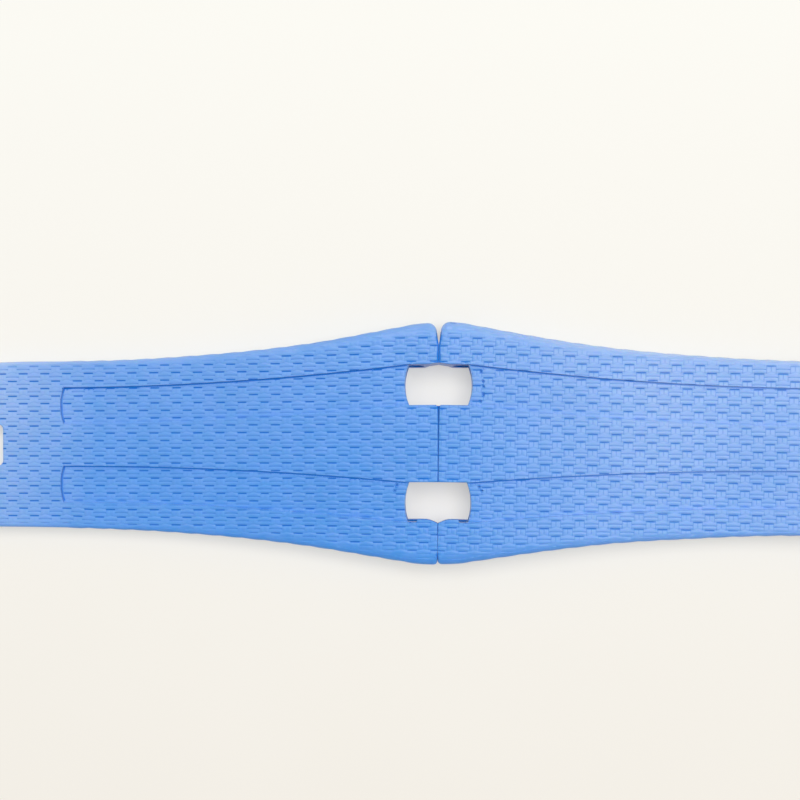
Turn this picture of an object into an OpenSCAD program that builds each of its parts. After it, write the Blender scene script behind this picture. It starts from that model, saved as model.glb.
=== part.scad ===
// Two-piece moulded rubber watch strap, laid flat with its two case ends together.
// Each half is described in its own strap frame: u runs from the case end along the strap,
// v across it and z up from the underside. The origin of the whole part is the middle of the
// long half's case pin, with +X from the tail towards the buckle and +Z towards the outer face.

/* [Strap outline] */
// Width over the outer tongues at the case end
case_w = 28.1; // [26:0.1:31]
// Width of the straight part of both halves
strap_w = 19.76; // [18:0.02:21]
// Length of the flare from the case end to the straight part
flare_len = 44.4; // [36:0.1:47]
// Length of the rounded shoulder of the flare next to the case end
tip_len = 4.2; // [3:0.1:6]
// Radius of the outer corners at the case end
tip_corner_r = 1.1; // [0.4:0.1:1.6]
// Length of the long half with the adjustment slots
long_len = 118; // [114:0.5:130]
// Distance from the case end to the buckle bar in the short half
bar_u = 78; // [77:0.5:90]
// Length of the rounded tail tip
tail_tip_len = 9; // [6:0.5:12]

/* [Strap thickness] */
// Thickness at the case end
case_t = 4.6; // [4.2:0.1:5.4]
// Thickness of the straight part
strap_t = 3.1; // [2.8:0.1:3.6]
// Thickness of the long half at its tail tip
tail_t = 2.4; // [2:0.1:2.8]
// Width of the sloping shoulder along the edge at the case end
case_shoulder_w = 1.5; // [0.8:0.1:2]
// Width of the shoulder along the straight part
strap_shoulder_w = 0.8; // [0.5:0.1:1.2]
// Drop of the shoulder at the case end
case_shoulder_h = 0.8; // [0.4:0.1:1.2]
// Drop of the shoulder along the straight part
strap_shoulder_h = 0.55; // [0.3:0.05:0.9]
// Radius of the lower edge all round
lower_edge_r = 0.5; // [0.2:0.1:0.8]

/* [Case end] */
// Depth of the lug notches at their middle
notch_depth = 3.8; // [3.4:0.1:4.6]
// Width of each lug notch
notch_w = 4.72; // [4.2:0.02:5]
// Distance of each notch's middle from the centreline
notch_v = 6.84; // [6.4:0.02:7.2]
// Bulge of the notch's inner end
notch_bulge = 0.5; // [0.2:0.05:0.8]
// Length of the relieved corner where a notch opens beside its outer tongue
mouth_len = 1.4; // [0.8:0.1:2]
// Depth of that relieved corner
mouth_depth = 0.42; // [0.2:0.02:0.8]
// Distance of the case pin from the case end
pin_in = 2.7; // [2.5:0.05:3]
// Height of the case pin above the underside
pin_h = 2.2; // [2:0.1:2.4]
// Radius of the bore that takes the case pin
pin_r = 0.9; // [0.7:0.05:1]
// Outer radius of the steel sleeve round the case pin
sleeve_r = 1.25; // [1.15:0.05:1.35]
// Radial bond line between a sleeve and the rubber
sleeve_bond = 0.02; // [0.01:0.01:0.05]
// Rubber left outside the outer sleeves at the sides of the strap
sleeve_cover = 0.7; // [0.4:0.1:1.2]

/* [Channels] */
// Depth of the two recessed channels on the outer face
channel_depth = 0.35; // [0.2:0.05:0.6]
// Distance of a channel's end from the case end
channel_len = 45; // [38:0.5:50]
// Width of a channel at its narrow end
channel_w = 4.36; // [3.8:0.02:4.8]
// Distance of a channel's middle from the centreline at its narrow end
channel_v = 4.7; // [4.2:0.02:5.2]
// Bulge of the channel's end
channel_bulge = 0.35; // [0.1:0.05:0.6]

/* [Adjustment slots] */
// Number of slots in the long half
slot_count = 8; // [5:1:8]
// Distance from the case end to the near edge of the first slot
first_slot_u = 52.1; // [50:0.1:56]
// Spacing of the slots
slot_pitch = 6.8; // [5.5:0.1:7]
// Length of a slot along the strap
slot_len = 2.6; // [2.2:0.1:3]
// Width of a slot across the strap
slot_w = 4.95; // [4.7:0.05:5.4]
// Radius of the slots' corners
slot_r = 0.6; // [0.3:0.05:0.9]

/* [Keepers] */
// Length of each keeper along the strap
keeper_len = 5.6; // [4:0.1:6]
// Wall of the keepers
keeper_wall = 1.2; // [0.9:0.1:1.5]
// Gap between a keeper and the sides and underside of the strap
keeper_gap = 0.12; // [0.08:0.02:0.2]
// Room left over the tail inside the keepers
keeper_room = 0.4; // [0.2:0.1:1]
// Outer corner radius of the keepers
keeper_r = 1.6; // [1.3:0.1:2]
// Distance from the buckle bar to the near edge of the fixed keeper
fixed_keeper_back = 8.5; // [8.5:0.1:9.5]
// Distance between the fixed keeper and the free keeper at rest
keeper_spacing = 3; // [1:0.1:4]

/* [Buckle] */
// Clear width between the arms of the buckle frame
frame_inner_w = 20.2; // [19.9:0.02:21.6]
// Width of each arm
arm_w = 2.3; // [1.9:0.1:3]
// Distance from the buckle bar to the outer edge of the front bar
frame_len = 12.4; // [11.6:0.1:14]
// Width of the front bar
front_bar_w = 2.9; // [2.2:0.1:3.4]
// Thickness of the frame
frame_t = 2.6; // [2.2:0.1:2.8]
// Radius of the frame's wrist curve, at its middle surface
frame_curve_r = 42; // [36:1:80]
// Outer corner radius of the frame
frame_corner_r = 2.6; // [1.5:0.1:3.5]
// Radius of the ears and of the tang's loop round the bar
ear_r = 1.7; // [1.6:0.05:1.8]
// Width of the tang
tang_w = 4.2; // [3.4:0.1:4.4]
// Thickness of the tang's arm
tang_t = 1.1; // [0.9:0.05:1.3]
// Depth of the tang's seat in the front bar
tang_seat = 0.3; // [0.15:0.05:0.5]
// Overhang of the tang's tip past the front bar
tang_overhang = 0.3; // [0:0.1:0.8]
// Gap between the tang and the sides and floor of its seat
tang_gap = 0.1; // [0.06:0.02:0.2]
// Gap on each side of the tang in the end of the short half
tang_side_gap = 0.35; // [0.2:0.05:0.6]
// Length of the tang's slot behind the buckle bar
tang_slot_back = 5; // [4.8:0.1:6]

/* [Spring bar] */
// Outer radius of the barrel
barrel_r = 0.9; // [0.8:0.05:1]
// Wall of the barrel
barrel_wall = 0.25; // [0.2:0.05:0.3]
// Running clearance of each turning or sliding fit
fit_gap = 0.05; // [0.03:0.01:0.06]
// Radius of the plunger tips
plunger_r = 0.45; // [0.35:0.05:0.5]
// Length of a plunger's head inside the barrel
plunger_head_len = 1.4; // [1:0.1:2]
// Depth to which the tips enter the ears
tip_depth = 1; // [0.7:0.1:1.2]
// Radius of the spring's wire
wire_r = 0.1; // [0.08:0.01:0.12]
// Turns of the spring
spring_turns = 16; // [10:1:18]

/* [Layout] */
// Gap between the two case ends on the centreline
meet_gap = 0.34; // [0.3:0.02:2]
// Angle at which the short half lies to the long half
lay_angle = 1.04; // [0:0.02:1.1]

/* [Hidden] */

rubber = [0.39, 0.62, 0.92];
steel = [0.72, 0.73, 0.75];
spring_steel = [0.55, 0.56, 0.58];
past = 1; // how far a cutter runs past the face that it opens
round_fn = 64;

// The flare is a hollow arc that starts level at the straight part and a rounded arc that
// ends level at the case end, tangent to each other.
flare_angle = 2 * atan((case_w - strap_w) / 2 / flare_len);
flare_r = (flare_len - tip_len) / sin(flare_angle);
tip_r = tip_len / sin(flare_angle);

notch_side_len = notch_depth - notch_bulge;
nose_r = strap_t / 2;
keeper_lift = keeper_wall + keeper_gap;
lift_start = 26;
lift_end = bar_u - fixed_keeper_back - 2 * keeper_len - keeper_spacing - 7;
bar_z = keeper_lift + nose_r;
fixed_keeper_u = bar_u - fixed_keeper_back - keeper_len;
free_keeper_u = fixed_keeper_u - keeper_spacing - keeper_len;
barrel_bore_r = barrel_r - barrel_wall;
barrel_len = strap_w - 1.2;
cap_t = 0.6;
head_out = barrel_len / 2 - cap_t;
tip_out = frame_inner_w / 2 + tip_depth;
curve_foot = 1; // where the frame's curve is level, from the buckle bar

function lerp(a, b, f) = a + (b - a) * f;
function clamp01(f) = min(1, max(0, f));
function ease(f) = (1 - cos(180 * clamp01(f))) / 2;

// Half width of the plain flare at a distance u from the case end
function flare_half(u) =
    u < tip_len ? case_w / 2 - tip_r + sqrt(tip_r * tip_r - u * u)
    : u < flare_len ? strap_w / 2 + flare_r - sqrt(flare_r * flare_r - pow(flare_len - u, 2))
    : strap_w / 2;
// What the rounded corner takes off that half width
function corner_loss(u) =
    u < tip_corner_r ? tip_corner_r - sqrt(tip_corner_r * tip_corner_r - pow(tip_corner_r - u, 2)) : 0;
// Share of the flare at u, 0 on the straight part and 1 where the notches end
function flare_share(u) =
    (flare_half(u) - strap_w / 2) / (flare_half(notch_side_len) - strap_w / 2);
// Thickness at u, with end_t at the far end of the half
function thickness(u, end_t, length) =
    u < flare_len ? lerp(case_t, strap_t, ease((u - notch_depth) / (flare_len - notch_depth)))
    : lerp(strap_t, end_t, (u - flare_len) / (length - flare_len));
function shoulder_w(u) = lerp(strap_shoulder_w, case_shoulder_w, clamp01(flare_share(u)));
function shoulder_h(u) = lerp(strap_shoulder_h, case_shoulder_h, clamp01(flare_share(u)));
// Height of the short half's underside, which its keepers lift off the table
function lift(u) = keeper_lift * ease((u - lift_start) / (lift_end - lift_start));

// One cross-section of a half as 3D points, counter-clockwise seen from the far end
function section(u, half, low, t) =
    let(
        edge = min(lower_edge_r, 0.4 * t),
        slope_w = min(shoulder_w(u), 0.8 * half),
        slope_h = min(shoulder_h(u), 0.45 * t),
        side = concat(
            [for (a = [-90:45:0]) [half - edge + edge * cos(a), low + edge + edge * sin(a)]],
            [for (a = [0:30:90]) [half - slope_w + slope_w * cos(a), low + t - slope_h + slope_h * sin(a)]]
        ),
        n = len(side)
    )
    concat(
        [for (p = side) [u, p[0], p[1]]],
        [for (i = [n - 1:-1:0]) [u, -side[i][0], side[i][1]]]
    );

// Solid skin over a list of sections with equal numbers of points
module loft(sections) {
    n = len(sections[0]);
    m = len(sections);
    points = [for (s = sections) for (p = s) p];
    sides = [for (k = [0:m - 2], i = [0:n - 1])
        let(a = k * n + i, b = k * n + (i + 1) % n, c = b + n, d = a + n)
        each [[a, d, c], [a, c, b]]];
    near_cap = [for (i = [1:n - 2]) [0, i, i + 1]];
    far_cap = [for (i = [1:n - 2]) [(m - 1) * n, (m - 1) * n + i + 1, (m - 1) * n + i]];
    polyhedron(points = points, faces = concat(sides, near_cap, far_cap), convexity = 6);
}

// Rectangle with true round corners, from its lower left corner
module round_rect(size, r) {
    translate([r, 0]) square([size[0] - 2 * r, size[1]]);
    translate([0, r]) square([size[0], size[1] - 2 * r]);
    for (x = [r, size[0] - r], y = [r, size[1] - r])
        translate([x, y]) circle(r = r, $fn = round_fn);
}

// Cylinder across the strap, from v0 to v1
module across(r, v0, v1) {
    translate([0, v1, 0]) rotate([90, 0, 0]) cylinder(r = r, h = v1 - v0, $fn = round_fn);
}

// Plan of one lug notch on the +v side
module notch_plan() {
    arc_r = (notch_w * notch_w / 4 + notch_bulge * notch_bulge) / (2 * notch_bulge);
    outer_v = notch_v + notch_w / 2;
    translate([-past, notch_v - notch_w / 2]) square([past + notch_side_len, notch_w]);
    intersection() {
        translate([notch_depth - arc_r, notch_v]) circle(r = arc_r, $fn = 2 * round_fn);
        translate([0, notch_v - notch_w / 2]) square([notch_depth + past, notch_w]);
    }
    polygon([
        [-past, outer_v - past], [mouth_len, outer_v - past], [mouth_len, outer_v],
        [0.6 * mouth_len, outer_v + 0.25 * mouth_depth], [0, outer_v + mouth_depth],
        [-past, outer_v + mouth_depth]
    ]);
}

// One recessed channel on the +v side, which runs on from its notch and follows the flare.
// lifted is 1 on the short half, whose top face rises with its underside, and 0 on the long one.
module channel_cutter(end_t, length, lifted) {
    start = notch_side_len - 0.3;
    bulge_steps = 4;
    steps = 12;
    plain_end = channel_len - channel_bulge;
    function inner_v(u) = lerp(channel_v - channel_w / 2, notch_v - notch_w / 2, flare_share(u));
    function outer_v(u) = lerp(channel_v + channel_w / 2, notch_v + notch_w / 2, flare_share(u));
    function channel_section(u, pinch) =
        let(
            mid = (inner_v(u) + outer_v(u)) / 2,
            reach = (outer_v(u) - inner_v(u)) / 2 * pinch,
            top = lifted * lift(u) + thickness(u, end_t, length)
        )
        [[u, mid + reach, top - channel_depth], [u, mid + reach, top + past],
         [u, mid - reach, top + past], [u, mid - reach, top - channel_depth]];
    loft(concat(
        [for (i = [0:steps]) channel_section(lerp(start, plain_end, i / steps), 1)],
        [for (i = [1:bulge_steps])
            let(f = i / bulge_steps)
            channel_section(plain_end + channel_bulge * f, sqrt(1 - 0.96 * f))]
    ));
}

// Everything that both halves have at their case end, cut from the given shell
module case_end_cuts(end_t, length, lifted) {
    for (side = [0, 1]) mirror([0, side, 0]) {
        translate([0, 0, -past]) linear_extrude(case_t + 2 * past) notch_plan();
        channel_cutter(end_t, length, lifted);
        translate([pin_in, 0, pin_h])
            across(sleeve_r + sleeve_bond, notch_v, case_w / 2 + past);
    }
    translate([pin_in, 0, pin_h]) across(sleeve_r + sleeve_bond, -notch_v, notch_v);
}

function near_stations() = concat(
    [for (a = [0:30:90]) tip_corner_r * (1 - cos(a))],
    [for (i = [1:3]) lerp(tip_corner_r, tip_len, i / 3)],
    [for (i = [1:11]) lerp(tip_len, flare_len, i / 11)]
);

// Long half in its strap frame
module long_half() {
    tip_u = long_len - tail_tip_len;
    tail_power = 2 / 2.3; // a little squarer than an ellipse
    difference() {
        loft(concat(
            [for (u = near_stations())
                section(u, flare_half(u) - corner_loss(u), 0, thickness(u, tail_t, long_len))],
            [for (a = [0:9:81])
                let(u = tip_u + tail_tip_len * pow(sin(a), tail_power))
                section(u, strap_w / 2 * pow(cos(a), tail_power), 0, thickness(u, tail_t, long_len))]
        ));
        case_end_cuts(tail_t, long_len, 0);
        for (i = [0:slot_count - 1])
            translate([first_slot_u + i * slot_pitch, -slot_w / 2, -past])
                linear_extrude(case_t + 2 * past) round_rect([slot_len, slot_w], slot_r);
    }
}

// Short half in its strap frame
module short_half() {
    nose_len = bar_u + nose_r;
    slot_half = tang_w / 2 + tang_side_gap;
    difference() {
        loft(concat(
            [for (u = near_stations())
                section(u, flare_half(u) - corner_loss(u), lift(u), thickness(u, strap_t, nose_len))],
            [for (i = [1:3])
                let(u = lerp(flare_len, lift_end, i / 3))
                section(u, strap_w / 2, lift(u), strap_t)],
            [for (a = [0:15:75])
                section(bar_u + nose_r * sin(a), strap_w / 2, bar_z - nose_r * cos(a), strap_t * cos(a))]
        ));
        case_end_cuts(strap_t, nose_len, 1);
        translate([bar_u - tang_slot_back, -slot_half, -past])
            cube([tang_slot_back + nose_r + past, 2 * slot_half, case_t + 2 * past]);
        translate([bar_u, 0, bar_z]) across(barrel_r + fit_gap, -strap_w / 2 - past, strap_w / 2 + past);
    }
}

// Steel sleeve of the case pin, from v0 to v1
module sleeve(v0, v1) {
    translate([pin_in, 0, pin_h]) difference() {
        across(sleeve_r, v0, v1);
        across(pin_r, v0 - past, v1 + past);
    }
}

module side_sleeve(side) {
    v0 = notch_v + notch_w / 2;
    v1 = flare_half(pin_in) - sleeve_cover;
    if (side > 0) sleeve(v0, v1);
    else sleeve(-v1, -v0);
}

module middle_sleeve() {
    v1 = notch_v - notch_w / 2;
    sleeve(-v1, v1);
}

// Closed loop round the short half with room for the tail over it
module keeper(u) {
    inner_w = strap_w + 2 * keeper_gap;
    inner_h = strap_t + strap_t + keeper_gap + keeper_room;
    size = [inner_w + 2 * keeper_wall, inner_h + 2 * keeper_wall];
    translate([u, 0, 0]) rotate([90, 0, 90])
        translate([-size[0] / 2, 0, 0]) linear_extrude(keeper_len) difference() {
            round_rect(size, keeper_r);
            translate([keeper_wall, keeper_wall])
                round_rect([inner_w, inner_h], max(0.2, keeper_r - keeper_wall));
        }
}

// Strip between two radii of the frame's wrist curve, from x0 to x1, seen from the side
module curved_strip(r_in, r_out, x0, x1) {
    intersection() {
        translate([curve_foot, -frame_curve_r]) difference() {
            circle(r = r_out, $fn = 4 * round_fn);
            circle(r = r_in, $fn = 4 * round_fn);
        }
        translate([x0, -frame_len]) square([x1 - x0, 2 * frame_len]);
    }
}

// Side profile swept across, from -w/2 to w/2
module sweep_across(w) {
    translate([0, w / 2, 0]) rotate([90, 0, 0]) linear_extrude(w) children();
}

// Buckle frame about the bar: two arms with ears and a front bar
module frame_solid() {
    outer_w = frame_inner_w + 2 * arm_w;
    window_len = frame_len - front_bar_w;
    difference() {
        intersection() {
            sweep_across(outer_w) {
                circle(r = ear_r, $fn = round_fn);
                curved_strip(frame_curve_r - frame_t / 2, frame_curve_r + frame_t / 2, 0,
                    frame_len + past);
            }
            translate([-ear_r - frame_corner_r, -outer_w / 2, -frame_len]) linear_extrude(2 * frame_len)
                round_rect([frame_len + ear_r + frame_corner_r, outer_w], frame_corner_r);
        }
        translate([-2 * ear_r, -frame_inner_w / 2, -frame_len]) linear_extrude(2 * frame_len)
            round_rect([window_len + 2 * ear_r, frame_inner_w], 1);
        sweep_across(tang_w + 2 * tang_gap)
            curved_strip(frame_curve_r + frame_t / 2 - tang_seat, frame_curve_r + frame_t,
                window_len - past, frame_len + past);
        across(plunger_r + fit_gap, -tip_out - 0.2, tip_out + 0.2);
    }
}

// Tang about the bar: a loop round the barrel and an arm that rests in the front bar's seat
module tang_solid() {
    seat_r = frame_curve_r + frame_t / 2 - tang_seat + tang_gap;
    tip = frame_len + tang_overhang;
    tip_r = 1.4;
    difference() {
        intersection() {
            sweep_across(tang_w) {
                circle(r = ear_r, $fn = round_fn);
                curved_strip(seat_r, seat_r + tang_t, 0, tip + past);
            }
            translate([-2 * ear_r, -tang_w / 2, -frame_len]) linear_extrude(2 * frame_len)
                round_rect([tip + 2 * ear_r, tang_w], tip_r);
        }
        across(barrel_r + fit_gap, -tang_w, tang_w);
    }
}

// Barrel of the spring bar, with a lip at each end that holds the plungers
module barrel_solid() {
    difference() {
        across(barrel_r, -barrel_len / 2, barrel_len / 2);
        across(barrel_bore_r, -head_out, head_out);
        across(plunger_r + fit_gap, -barrel_len, barrel_len);
    }
}

// Plunger on the +v side: a head inside the barrel and a tip that enters the ear
module plunger_solid() {
    stop_gap = 0.02;
    bevel = 0.1;
    across(barrel_bore_r - fit_gap, head_out - plunger_head_len, head_out - stop_gap);
    across(plunger_r, head_out - plunger_head_len / 2, tip_out - bevel);
    translate([0, tip_out, 0]) rotate([90, 0, 0])
        cylinder(r1 = plunger_r - bevel, r2 = plunger_r, h = bevel, $fn = round_fn);
}

// Coil spring between the plunger heads
module spring_solid() {
    sides = 5;
    steps = 9;
    coil_r = barrel_bore_r - fit_gap - wire_r;
    half_len = head_out - plunger_head_len - wire_r - fit_gap;
    rings = spring_turns * steps;
    loft([for (k = [0:rings])
        let(a = 360 * k / steps, v = lerp(-half_len, half_len, k / rings))
        [for (i = [0:sides - 1])
            let(b = -360 * i / sides, r = coil_r + wire_r * cos(b))
            [r * cos(a), v + wire_r * sin(b), r * sin(a)]]]);
}

// The long half lies along -X, with its case pin on the origin
module place_long() {
    translate([pin_in, 0, -pin_h]) mirror([1, 0, 0]) children();
}

// The short half lies along +X, turned about the meeting point by the lay angle
module place_short() {
    translate([pin_in + meet_gap / 2, 0, -pin_h]) rotate([0, 0, -lay_angle])
        translate([meet_gap / 2, 0, 0]) children();
}

module place_bar() {
    place_short() translate([bar_u, 0, bar_z]) children();
}

module strap_long() { color(rubber) place_long() long_half(); }
module strap_short() { color(rubber) place_short() short_half(); }
module long_sleeve_left() { color(steel) place_long() side_sleeve(1); }
module long_sleeve_middle() { color(steel) place_long() middle_sleeve(); }
module long_sleeve_right() { color(steel) place_long() side_sleeve(-1); }
module short_sleeve_left() { color(steel) place_short() side_sleeve(1); }
module short_sleeve_middle() { color(steel) place_short() middle_sleeve(); }
module short_sleeve_right() { color(steel) place_short() side_sleeve(-1); }
module fixed_keeper() { color(rubber) place_short() keeper(fixed_keeper_u); }
module free_keeper() { color(rubber) place_short() keeper(free_keeper_u); }
module buckle_frame() { color(steel) place_bar() frame_solid(); }
module buckle_tang() { color(steel) place_bar() tang_solid(); }
module bar_barrel() { color(steel) place_bar() barrel_solid(); }
module bar_plunger_left() { color(steel) place_bar() plunger_solid(); }
module bar_plunger_right() { color(steel) place_bar() mirror([0, 1, 0]) plunger_solid(); }
module bar_spring() { color(spring_steel) place_bar() spring_solid(); }

strap_long();
strap_short();
long_sleeve_left();
long_sleeve_middle();
long_sleeve_right();
short_sleeve_left();
short_sleeve_middle();
short_sleeve_right();
fixed_keeper();
free_keeper();
buckle_frame();
buckle_tang();
bar_barrel();
bar_plunger_left();
bar_plunger_right();
bar_spring();
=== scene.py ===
import math

import bpy
import numpy as np
from mathutils import Matrix, Vector


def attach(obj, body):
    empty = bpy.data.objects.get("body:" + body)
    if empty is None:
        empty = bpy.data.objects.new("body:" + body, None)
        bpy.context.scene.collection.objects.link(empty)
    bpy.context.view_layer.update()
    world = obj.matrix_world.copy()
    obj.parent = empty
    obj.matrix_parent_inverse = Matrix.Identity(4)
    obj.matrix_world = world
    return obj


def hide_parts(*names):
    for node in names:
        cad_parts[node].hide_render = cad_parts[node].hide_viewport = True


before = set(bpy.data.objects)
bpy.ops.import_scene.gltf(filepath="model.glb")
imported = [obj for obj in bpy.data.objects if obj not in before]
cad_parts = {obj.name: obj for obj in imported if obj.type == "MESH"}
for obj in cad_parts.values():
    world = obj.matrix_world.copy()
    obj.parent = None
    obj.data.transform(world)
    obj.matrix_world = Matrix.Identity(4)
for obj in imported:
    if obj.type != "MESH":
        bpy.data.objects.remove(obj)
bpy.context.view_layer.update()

MM = 0.001

# Strap outline, in each half's own frame: u from the case end along the strap, v across, z up
# from the underside. The values repeat the part's source.
CASE_W = 28.1 * MM
STRAP_W = 19.76 * MM
FLARE_LEN = 44.4 * MM
TIP_LEN = 4.2 * MM
TIP_CORNER_R = 1.1 * MM
LONG_LEN = 118 * MM
BAR_U = 78 * MM
TAIL_TIP_LEN = 9 * MM
TAIL_POWER = 2.3
CASE_T = 4.6 * MM
STRAP_T = 3.1 * MM
TAIL_T = 2.4 * MM
CASE_SHOULDER_W = 1.5 * MM
STRAP_SHOULDER_W = 0.8 * MM
CASE_SHOULDER_H = 0.8 * MM
STRAP_SHOULDER_H = 0.55 * MM
LOWER_EDGE_R = 0.5 * MM
NOTCH_DEPTH = 3.8 * MM
NOTCH_W = 4.72 * MM
NOTCH_V = 6.84 * MM
NOTCH_BULGE = 0.5 * MM
MOUTH_LEN = 1.4 * MM
MOUTH_DEPTH = 0.42 * MM
PIN_IN = 2.7 * MM
PIN_H = 2.2 * MM
PIN_R = 0.9 * MM
SLEEVE_R = 1.25 * MM
SLEEVE_COVER = 0.7 * MM
CHANNEL_DEPTH = 0.35 * MM
CHANNEL_LEN = 45 * MM
CHANNEL_W = 4.36 * MM
CHANNEL_V = 4.7 * MM
CHANNEL_BULGE = 0.35 * MM
SLOT_COUNT = 8
FIRST_SLOT_U = 52.1 * MM
SLOT_PITCH = 6.8 * MM
SLOT_LEN = 2.6 * MM
SLOT_W = 4.95 * MM
SLOT_R = 0.6 * MM
KEEPER_LEN = 5.6 * MM
KEEPER_WALL = 1.2 * MM
KEEPER_GAP = 0.12 * MM
KEEPER_ROOM = 0.4 * MM
KEEPER_R = 1.6 * MM
FIXED_KEEPER_U = 63.9 * MM
FREE_KEEPER_U = 55.3 * MM
FRAME_INNER_W = 20.2 * MM
ARM_W = 2.3 * MM
FRAME_LEN = 12.4 * MM
FRONT_BAR_W = 2.9 * MM
FRAME_T = 2.6 * MM
FRAME_CURVE_R = 42 * MM
FRAME_CORNER_R = 2.6 * MM
CURVE_FOOT = 1 * MM
EAR_R = 1.7 * MM
TANG_W = 4.2 * MM
TANG_T = 1.1 * MM
TANG_SEAT = 0.3 * MM
TANG_OVERHANG = 0.3 * MM
TANG_GAP = 0.1 * MM
TANG_SIDE_GAP = 0.35 * MM
TANG_SLOT_BACK = 5 * MM
BARREL_R = 0.9 * MM
BARREL_WALL = 0.25 * MM
FIT_GAP = 0.05 * MM
PLUNGER_R = 0.45 * MM
PLUNGER_HEAD_LEN = 1.4 * MM
TIP_DEPTH = 1 * MM
CAP_T = 0.6 * MM
MEET_GAP = 0.34 * MM
LAY_ANGLE = math.radians(1.04)
LIFT_START = 26 * MM
LIFT_END = 48.3 * MM
NOSE_R = STRAP_T / 2
KEEPER_LIFT = KEEPER_WALL + KEEPER_GAP
BAR_Z = KEEPER_LIFT + NOSE_R
FLARE_ANGLE = 2 * math.atan((CASE_W - STRAP_W) / 2 / FLARE_LEN)
FLARE_R = (FLARE_LEN - TIP_LEN) / math.sin(FLARE_ANGLE)
TIP_R = TIP_LEN / math.sin(FLARE_ANGLE)
BARREL_LEN = STRAP_W - 1.2 * MM
HEAD_OUT = BARREL_LEN / 2 - CAP_T
TIP_OUT = FRAME_INNER_W / 2 + TIP_DEPTH
PAST = 1 * MM

# Finer forms that only the looks have
END_GROW = 0.05 * MM  # moulding allowance at the case end, which closes the joint to a line
EDGE_R = 0.11 * MM  # rounding of the case end's edges
UPPER_MOUTH_DEPTH = 0.16 * MM
END_BULGE = 0.05 * MM  # further growth of the middle tongue
NOSE_BULGE = 0.22 * MM  # how far the tongues' ends swell at mid height, where they all but touch
TOUCH_GAP = 0.004 * MM
NOTCH_FILL = 0.09 * MM  # the notches end a little short of the nominal depth
CREASE_W = 0.22 * MM  # fine groove at the foot of each channel's upper wall and end wall
CREASE_DEPTH = 0.07 * MM
EDGE_RIPPLE = 0.045 * MM  # the weave's ripple in the outline
# How much fuller the moulded outlines are than nominal, in mm: places along, +v side, -v side
LONG_FULLER = [[0, 8, 14, 20, 29, 38, 49, 62],
               [0.02, 0.02, -0.06, 0, 0.15, 0.19, 0.25, 0],
               [0.05, 0.19, 0.17, 0.19, 0.25, 0.24, 0.1, 0]]
SHORT_FULLER = [[0, 8, 14, 20, 29, 38, 46],
                [0.15, 0.12, 0.08, 0.07, 0.19, 0.17, 0],
                [0, 0.07, 0.06, 0.05, 0.19, 0.08, 0]]
NOTCH_DRAFT = 0.16 * MM  # the notches' outer walls lean in towards the underside
LIP = 0.36 * MM  # the -v notches' outer walls carry a lip beside the bore,
LIP_U = 2.38 * MM
UPPER_FILL = 0.08 * MM  # and lie a little further in, more so at the underside
LOWER_FILL = 0.22 * MM
NOTCH_LEAN = 0.16 * MM  # they are this much deeper at that wall
INNER_MOUTH = 0.07 * MM  # small bevel of the middle tongue's +v corner
LOWER_CORNER_R = 0.45 * MM  # corner of the outline on the -v side, tighter than on the other
SLEEVE_SINK = 0.2 * MM  # the sleeves end inside the rubber's mouths
NICK_DEPTH = 0.25 * MM  # small nicks in the weave round the notches: u, v and height, in mm
SHORT_NICKS = [(4.65, 8.39, 0.3), (4.91, 7.28, 0.2), (4.97, 6.68, 0.2), (4.97, 5.75, 0.4),
               (4.68, 4.96, 0.2), (4.64, -4.95, 0.12), (5.0, -5.38, 0.12)]
LONG_NICKS = [(4.66, -4.83, 0.3), (4.89, -5.47, 0.16)]
WALL_SHADE = 1.0  # how far walls in the notches and at the joint take on painted shade
END_SHADE = 0.9
END_CREASE_SHADE = 0.55
FAR_CREASE_FADE = 0.35  # how much the painted shade in the short half's creases fades along it
WALL_WEAVE_FADE = 0.6  # how much the weave's painted shade fades at the channels' -v walls
RIM_BLEND = 4 * MM  # the two sides' painted shoulder highlight and shade blend over this much round the tail's end
CUT_BEVEL = 0.08 * MM  # bevel where notches, slots and bores open

# Basket weave of paired threads on the outer face
WEAVE_PITCH = 2.668 * MM  # from one float to the next in the same row
ROW_PITCH = 0.8972 * MM  # height of a row, which is two threads
FLOAT_HALF = 0.8 * MM  # half the length of a float
RISER_HALF = WEAVE_PITCH / 2 - FLOAT_HALF
GROOVE_AT = 0.55  # between a float's two threads, as a share of the row
GROOVE_DROP = 0.035 * MM
EDGE_DROP = 0.04 * MM  # at a float's overhanging edge
UPPER_EDGE_DROP = 0.015 * MM
ARCH_DROP = 0.05 * MM  # at a float's ends
RISER_DROP = 0.03 * MM  # at the sides of a riser's two threads
FOOT_DROP = 0.06 * MM  # where a riser slips under the float below it
FOOT_LEN = 0.35
TUCK = 0.2 * MM  # how far that float bulges over it
SLIT_DROP = 0.07 * MM  # under a float's overhanging edge
SLIT_W = 0.1 * MM
SKIN_DROP = 0.015 * MM
WEAVE_PAST = 1.3 * MM  # how far the woven sheet reaches past the ends, and its half width
WEAVE_SIDE = 14.6 * MM
FLOORS_SIDE = 10.2 * MM  # half width of the sheet that makes the channels' floors
WEAVE_DRIFT = 0.1 * MM  # the pattern wanders this much along the short half
WEAVE_STRETCH = 0.012  # and spreads this share across at the case end
STRIP_SHIFT = 0.16 * MM  # outside the -v channel it lies this much lower
ROW_GUARD = 1e-4  # rounding at the line between two rows, in rows
U_OFFSETS = [0, 0.3, 0.6, 0.8, 0.92, 1.13]  # mesh lines: mm from a float's middle, and in rows
V_OFFSETS = [0, 0.09, 0.22, 0.46, 0.55, 0.64, 0.91]


def ease(f):
    return (1 - np.cos(np.pi * np.clip(f, 0, 1))) / 2


def smooth(low, high, x):
    t = np.clip((x - low) / (high - low), 0, 1)
    return t * t * (3 - 2 * t)


def lerp(a, b, f):
    return a + (b - a) * f


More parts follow.
